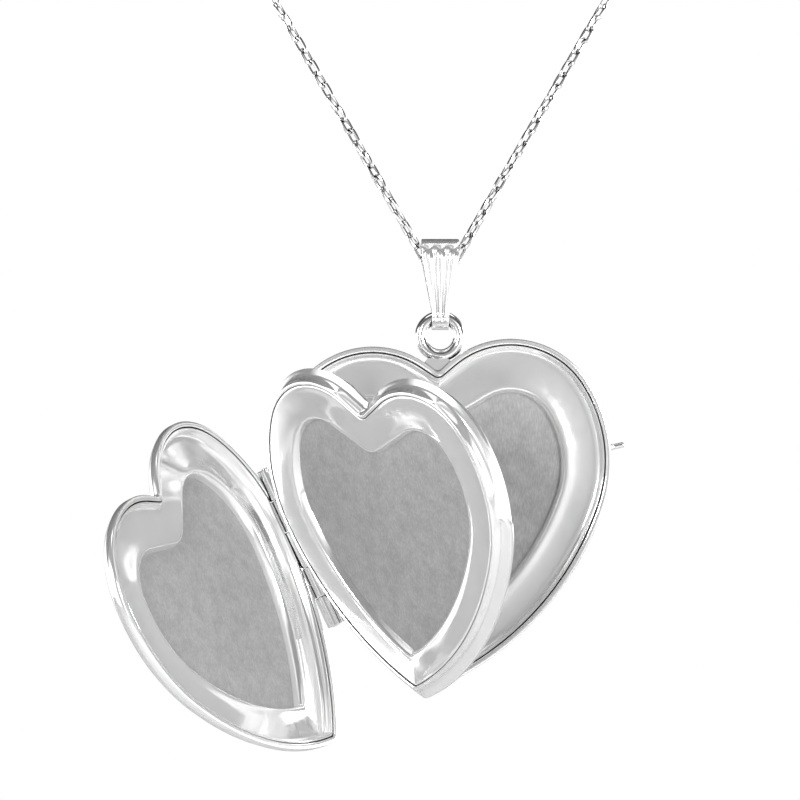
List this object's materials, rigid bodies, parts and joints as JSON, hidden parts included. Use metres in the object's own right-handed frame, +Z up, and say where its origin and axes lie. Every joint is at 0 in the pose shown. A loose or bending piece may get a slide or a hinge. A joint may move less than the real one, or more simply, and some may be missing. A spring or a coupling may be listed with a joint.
{
  "type": "locket",
  "caption": "Hinged heart locket on a fluted bail and cable chain, open, with a double-sided middle page, picture frames and a spring ring clasp.",
  "frame": {"origin": "middle of the bail's chain tunnel, on its axis", "axes": "+X to the wearer's left as seen from the front, +Y to the back, +Z up along the hanging direction"},
  "size_m": [0.0438, 0.0247, 0.0663],
  "materials": {
    "silver": "high polish",
    "chain_links": "high polish",
    "spring_wire": "drawn wire",
    "paper": "matt grey card"
  },
  "bodies": {
    "chain": {"chain": "chain_links", "clasp_ring": "silver", "clasp_body": "silver", "clasp_spring": "spring_wire", "tag_ring": "silver"},
    "clasp_bolt": {"clasp_bolt": "silver"},
    "bail": {"bail": "silver"},
    "back": {"back_shell": "silver", "back_frame": "silver", "back_card": "paper", "hanging_ring": "silver", "notch_tab": "silver", "catch_pin": "silver", "back_knuckles": "silver", "hinge_pin": "silver"},
    "page": {"page_front_band": "silver", "page_back_band": "silver", "page_divider": "silver", "page_front_frame": "silver", "page_back_frame": "silver", "page_front_card": "paper", "page_back_card": "paper", "page_knuckle": "silver"},
    "cover": {"cover_shell": "silver", "cover_frame": "silver", "cover_card": "paper", "cover_knuckles": "silver"}
  },
  "joints": [
    {"name": "bail_swing", "type": "hinge", "parent": "chain", "child": "bail", "pos_m": [0, 0, 0], "axis": [1, 0, 0], "range_deg": [-60, 60]},
    {"name": "locket_sway", "type": "hinge", "parent": "bail", "child": "back", "pos_m": [0, 0, -0.00592], "axis": [0, 1, 0], "range_deg": [-26.7, 33.3]},
    {"name": "page_hinge", "type": "hinge", "parent": "back", "child": "page", "pos_m": [-0.0107, -0.0009, -0.02203], "axis": [0.4195, 0, -0.9078], "range_deg": [-53.3, 34.7]},
    {"name": "cover_hinge", "type": "hinge", "parent": "page", "child": "cover", "pos_m": [-0.0107, -0.0009, -0.02203], "axis": [0.4195, 0, -0.9078], "range_deg": [-65.1, 22.9]},
    {"name": "clasp_bolt_slide", "type": "hinge", "parent": "chain", "child": "clasp_bolt", "pos_m": [0.01686, 0, 0.02692], "axis": [0, -1, 0], "range_deg": [0, 45], "stiffness_Nm_per_rad": 0.0008, "springref_deg": -17.19}
  ]
}
